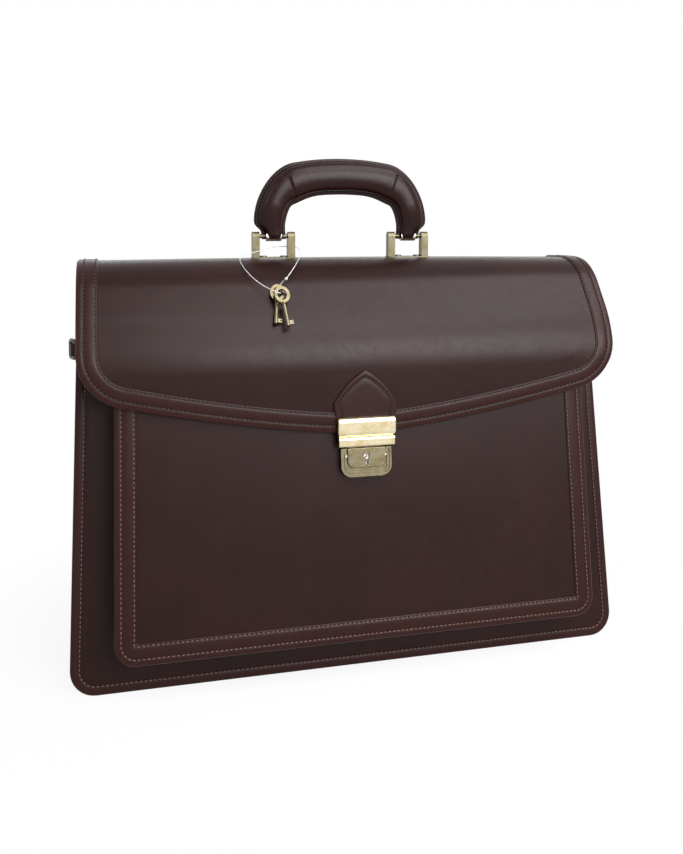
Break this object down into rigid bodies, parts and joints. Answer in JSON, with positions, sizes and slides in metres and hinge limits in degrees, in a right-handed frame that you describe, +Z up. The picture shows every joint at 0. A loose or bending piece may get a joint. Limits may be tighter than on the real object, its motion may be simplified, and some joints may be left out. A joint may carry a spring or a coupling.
{
  "type": "leather briefcase",
  "caption": "Two-compartment leather briefcase with a flap, padded top handle on brackets, front pocket, press-on lock with keys, and side rings.",
  "frame": {"origin": "middle of the divider panel's bottom edge, on the floor, half way along the case", "axes": "+X to the right along the case's length, +Y to the back, +Z up; the flap's lock faces -Y"},
  "size_m": [0.4208, 0.1459, 0.383],
  "materials": {
    "leather": "smooth glossy calf, very dark oxblood brown",
    "leather_trim": "smooth glossy calf, slightly lighter",
    "leather_gusset": "soft satin calf",
    "lining_fabric": "fine matt cotton twill",
    "board": "matt fibreboard",
    "padding": "matt felt",
    "brass": "pale polished antique brass",
    "steel": "satin",
    "nylon": "clear thread"
  },
  "bodies": {
    "case": {"back_lining": "lining_fabric", "back_panel": "leather", "base_board_front": "board", "base_board_rear": "board", "divider_panel": "leather", "front_gusset": "leather_gusset", "front_lining": "lining_fabric", "front_panel": "leather", "lock_base": "brass", "lock_case": "brass", "lock_drill_pin": "steel", "lock_escutcheon": "brass", "lock_keeper": "brass", "lock_screws": "steel", "pocket_border": "leather_trim", "pocket_front": "leather", "pocket_gusset": "leather_gusset", "pocket_lining": "lining_fabric", "rear_gusset": "leather_gusset", "side_rivets": "brass", "side_tab_left": "leather_trim", "side_tab_right": "leather_trim"},
    "flap_top": {"bracket_left": "brass", "bracket_right": "brass", "bracket_rivets": "brass", "flap_top": "leather", "flap_top_border_left": "leather_trim", "flap_top_border_right": "leather_trim", "handle_pin_left": "brass", "handle_pin_right": "brass", "key_thread": "nylon", "top_lining": "lining_fabric", "top_stiffener": "board"},
    "flap_front": {"flap_border_left": "leather_trim", "flap_border_right": "leather_trim", "flap_front": "leather", "flap_lining": "lining_fabric", "hasp_back_plate": "brass", "hasp_bar": "brass", "hasp_plate": "brass", "hasp_rivets": "brass", "hasp_tab": "leather_trim", "key_back": "brass", "key_front": "brass", "thread_knot": "nylon"},
    "handle": {"handle_core": "steel", "handle_cover": "leather", "handle_padding": "padding"},
    "slider": {"lock_bolt": "brass", "lock_slider": "brass"},
    "rotor": {"lock_rotor": "steel"},
    "ring_left": {"side_ring_left": "brass"},
    "ring_right": {"side_ring_right": "brass"}
  },
  "joints": [
    {"name": "flap_top_hinge", "type": "hinge", "parent": "case", "child": "flap_top", "pos_m": [0, 0.02159, 0.298], "axis": [-1, 0, 0], "range_deg": [0, 100]},
    {"name": "flap_front_fold", "type": "hinge", "parent": "flap_top", "child": "flap_front", "pos_m": [0, -0.0279, 0.29776], "axis": [-1, 0, 0], "range_deg": [0, 60], "deforming": ["key_thread"]},
    {"name": "handle_swing", "type": "hinge", "parent": "flap_top", "child": "handle", "pos_m": [0, 0, 0.322], "axis": [1, 0, 0], "range_deg": [-80, 80]},
    {"name": "slider_push", "type": "slide", "parent": "flap_front", "child": "slider", "axis": [1, 0, 0], "range_m": [0, 0.004], "stiffness_N_per_m": 120, "springref_m": -0.002},
    {"name": "rotor_turn", "type": "hinge", "parent": "case", "child": "rotor", "pos_m": [0, -0.06867, 0.1606], "axis": [0, -0.9924, 0.123], "range_deg": [0, 90]},
    {"name": "ring_left_swing", "type": "hinge", "parent": "case", "child": "ring_left", "pos_m": [-0.20542, 0, 0.2375], "axis": [0, 0, 1], "range_deg": [-35, 60]},
    {"name": "ring_right_swing", "type": "hinge", "parent": "case", "child": "ring_right", "pos_m": [0.20542, 0, 0.2375], "axis": [0, 0, 1], "range_deg": [-60, 35]}
  ]
}
